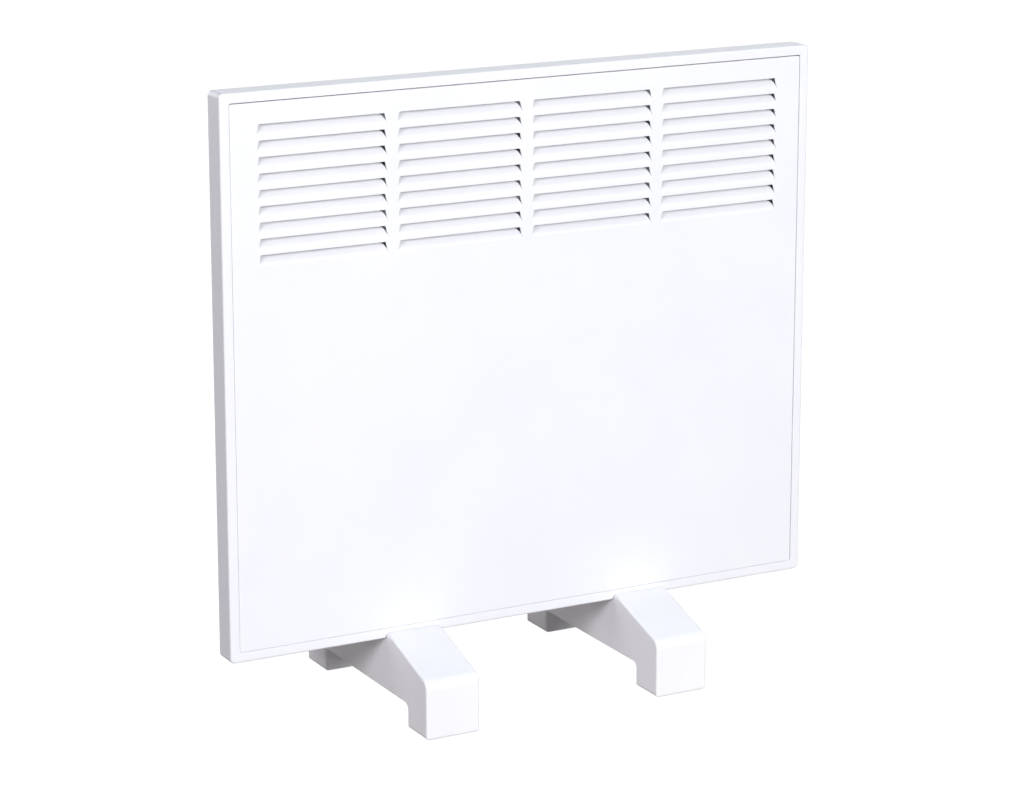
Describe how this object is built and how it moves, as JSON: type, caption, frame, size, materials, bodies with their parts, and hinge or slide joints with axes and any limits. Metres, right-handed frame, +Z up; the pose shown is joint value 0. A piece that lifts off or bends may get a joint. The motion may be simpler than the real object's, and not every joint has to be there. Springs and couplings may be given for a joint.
{
  "type": "wall panel convector heater",
  "caption": "Flat electric panel convector with louvred front, stepped rear casing, side thermostat and rocker switch, standing on two moulded feet.",
  "frame": {"origin": "on the floor, under the middle of the casing's width and depth", "axes": "+X to the right seen from the front, +Y from the louvred front to the back, +Z up"},
  "size_m": [0.52, 0.2188, 0.508],
  "materials": {
    "enamel": "white powder coat, satin",
    "foot_plastic": "white moulded plastic, fine texture",
    "white_plastic": "white moulded plastic, satin",
    "grey_plastic": "light grey moulded plastic",
    "black_plastic": "black moulded plastic",
    "amber_lens": "clear amber lens",
    "black_rubber": "soft black rubber",
    "galvanised": "galvanised sheet, spangled",
    "screw_steel": "bright zinc plate",
    "spring_steel": "dark tempered steel",
    "sheath_steel": "heat-tinted stainless tube",
    "element_aluminium": "plain extruded aluminium",
    "ceramic": "unglazed steatite, cream",
    "copper": "drawn copper",
    "brown_wire": "brown insulation",
    "blue_wire": "blue insulation",
    "green_wire": "green and yellow insulation"
  },
  "bodies": {
    "casing": {"front_frame": "enamel", "front_panel": "enamel", "rear_casing": "enamel", "panel_clip_left_lower": "spring_steel", "panel_clip_left_upper": "spring_steel", "panel_clip_right_lower": "spring_steel", "panel_clip_right_upper": "spring_steel", "casing_screw_left_lower": "screw_steel", "casing_screw_left_upper": "screw_steel", "casing_screw_right_lower": "screw_steel", "casing_screw_right_upper": "screw_steel", "casing_screw_top_left": "screw_steel", "casing_screw_top_right": "screw_steel", "base_plate": "galvanised", "base_screw_left": "screw_steel", "base_screw_right": "screw_steel", "heat_shield": "galvanised", "air_deflector": "galvanised", "control_partition": "galvanised", "partition_grommet": "black_rubber", "heating_element": "element_aluminium", "element_sheath": "sheath_steel", "element_terminal_left": "screw_steel", "element_terminal_right": "screw_steel", "element_bracket_left": "galvanised", "element_bracket_right": "galvanised", "element_bushing_left": "ceramic", "element_bushing_right": "ceramic", "thermal_cutout": "ceramic", "control_fascia": "grey_plastic", "fascia_screw_upper": "screw_steel", "fascia_screw_lower": "screw_steel", "thermostat_body": "black_plastic", "thermostat_bulb": "copper", "thermostat_capillary": "copper", "bulb_clip": "black_plastic", "switch_body": "black_plastic", "indicator_lens": "amber_lens", "terminal_block": "ceramic", "cable_gland": "black_plastic", "earth_screw": "screw_steel", "wire_live_feed": "brown_wire", "wire_switched_live": "brown_wire", "wire_thermostat_out": "brown_wire", "wire_cutout_out": "brown_wire", "wire_neutral": "blue_wire", "wire_earth": "green_wire", "left_foot": "foot_plastic", "right_foot": "foot_plastic", "left_foot_screw_front": "screw_steel", "left_foot_screw_rear": "screw_steel", "right_foot_screw_front": "screw_steel", "right_foot_screw_rear": "screw_steel"},
    "knob": {"thermostat_knob": "white_plastic", "thermostat_shaft": "screw_steel"},
    "rocker": {"switch_rocker": "white_plastic"}
  },
  "joints": [
    {"name": "thermostat_turn", "type": "hinge", "parent": "casing", "child": "knob", "pos_m": [0.238, 0.011, 0.3097], "axis": [-1, 0, 0], "range_deg": [0, 270]},
    {"name": "switch_rock", "type": "hinge", "parent": "casing", "child": "rocker", "pos_m": [0.2354, 0.011, 0.2537], "axis": [0, 1, 0], "range_deg": [0, 16]}
  ]
}
